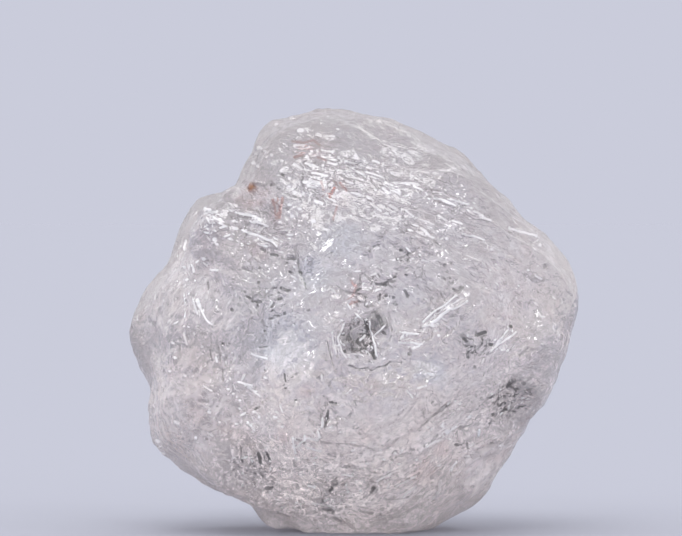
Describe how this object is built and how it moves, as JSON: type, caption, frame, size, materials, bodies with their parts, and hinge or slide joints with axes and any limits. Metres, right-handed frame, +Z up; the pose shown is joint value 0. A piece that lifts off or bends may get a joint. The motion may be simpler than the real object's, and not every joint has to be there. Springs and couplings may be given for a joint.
{
  "type": "rough diamond",
  "caption": "Rough diamond: a rounded, frosted, see-through crystal with growth terraces, etched hollows and a notch beside its left lobe, resting on a small cleavage flat.",
  "frame": {"origin": "bottom centre of the stone's box, on the surface that it rests on", "axes": "+X to the stone's right as pictured, along its widest extent; +Y away from the viewer, through its depth; +Z up"},
  "size_m": [0.0064, 0.0054, 0.006],
  "materials": {
    "frosted_crystal": "etched, frosted skin with clear windows; IOR 2.417; faint pink and orange stains"
  },
  "bodies": {
    "root": {"rough_diamond": "frosted_crystal"}
  },
  "joints": []
}
